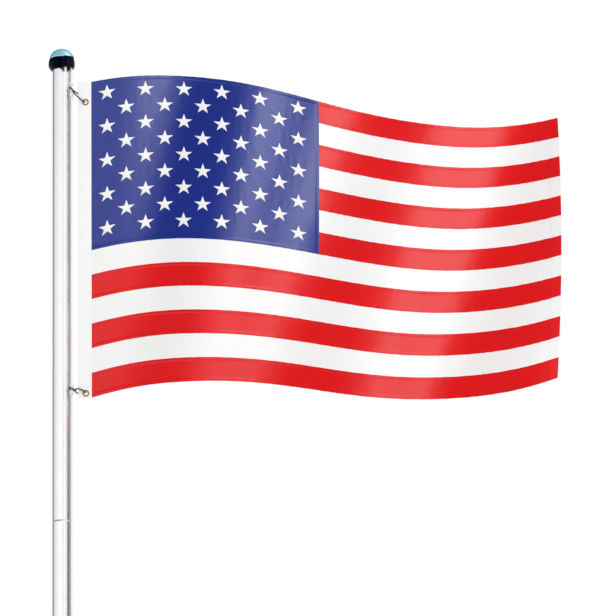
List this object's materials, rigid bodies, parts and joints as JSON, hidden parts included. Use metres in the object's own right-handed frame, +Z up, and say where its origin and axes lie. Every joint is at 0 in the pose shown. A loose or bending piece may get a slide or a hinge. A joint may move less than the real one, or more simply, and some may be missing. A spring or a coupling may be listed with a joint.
{
  "type": "sectional flagpole with halyard and flag",
  "caption": "Slim tubular flagpole in swaged sections with a domed truck, rope halyard, cleat and a striped flag that hoists and swings on snap hooks.",
  "frame": {"origin": "centre of the pole's foot, on the ground face", "axes": "+Z up along the pole, +X the way the flag flies, -Y toward the viewer"},
  "size_m": [1.4306, 0.4171, 6.093],
  "materials": {
    "pole_aluminium": "satin",
    "truck_black": "gloss",
    "dome_blue": "gloss",
    "zinc": "polished",
    "cast_aluminium": "satin",
    "rope": "braided",
    "canvas": "woven",
    "brass": "polished",
    "cloth_blue": "woven",
    "cloth_red": "woven",
    "cloth_white": "woven"
  },
  "bodies": {
    "pole": {"pole_section_1": "pole_aluminium", "pole_section_2": "pole_aluminium", "pole_section_3": "pole_aluminium", "pole_section_4": "pole_aluminium", "pole_section_5": "pole_aluminium", "truck_body": "truck_black", "truck_dome": "dome_blue", "sheave": "zinc", "sheave_pin": "zinc", "halyard_flag_leg": "rope", "halyard_return_leg": "rope", "halyard_top_bend": "rope", "halyard_belay": "rope", "cleat": "cast_aluminium"},
    "hoist": {"hitch_upper": "rope", "hitch_lower": "rope"},
    "flag": {"snap_hook_upper": "zinc", "snap_hook_lower": "zinc", "gate_upper": "zinc", "gate_lower": "zinc", "header": "canvas", "grommet_top": "brass", "grommet_bottom": "brass", "canton": "cloth_blue", "stars_front": "cloth_white", "stars_back": "cloth_white", "stripe_1": "cloth_red", "stripe_2": "cloth_white", "stripe_3": "cloth_red", "stripe_4": "cloth_white", "stripe_5": "cloth_red", "stripe_6": "cloth_white", "stripe_7": "cloth_red", "stripe_8": "cloth_white", "stripe_9": "cloth_red", "stripe_10": "cloth_white", "stripe_11": "cloth_red", "stripe_12": "cloth_white", "stripe_13": "cloth_red"}
  },
  "joints": [
    {"name": "flag_hoist", "type": "slide", "parent": "pole", "child": "hoist", "axis": [0, 0, -1], "range_m": [0, 3.6]},
    {"name": "flag_swing", "type": "hinge", "parent": "hoist", "child": "flag", "pos_m": [0.02898, -0.02844, 5.5], "axis": [0, 0, 1], "range_deg": [-80, 50]}
  ]
}
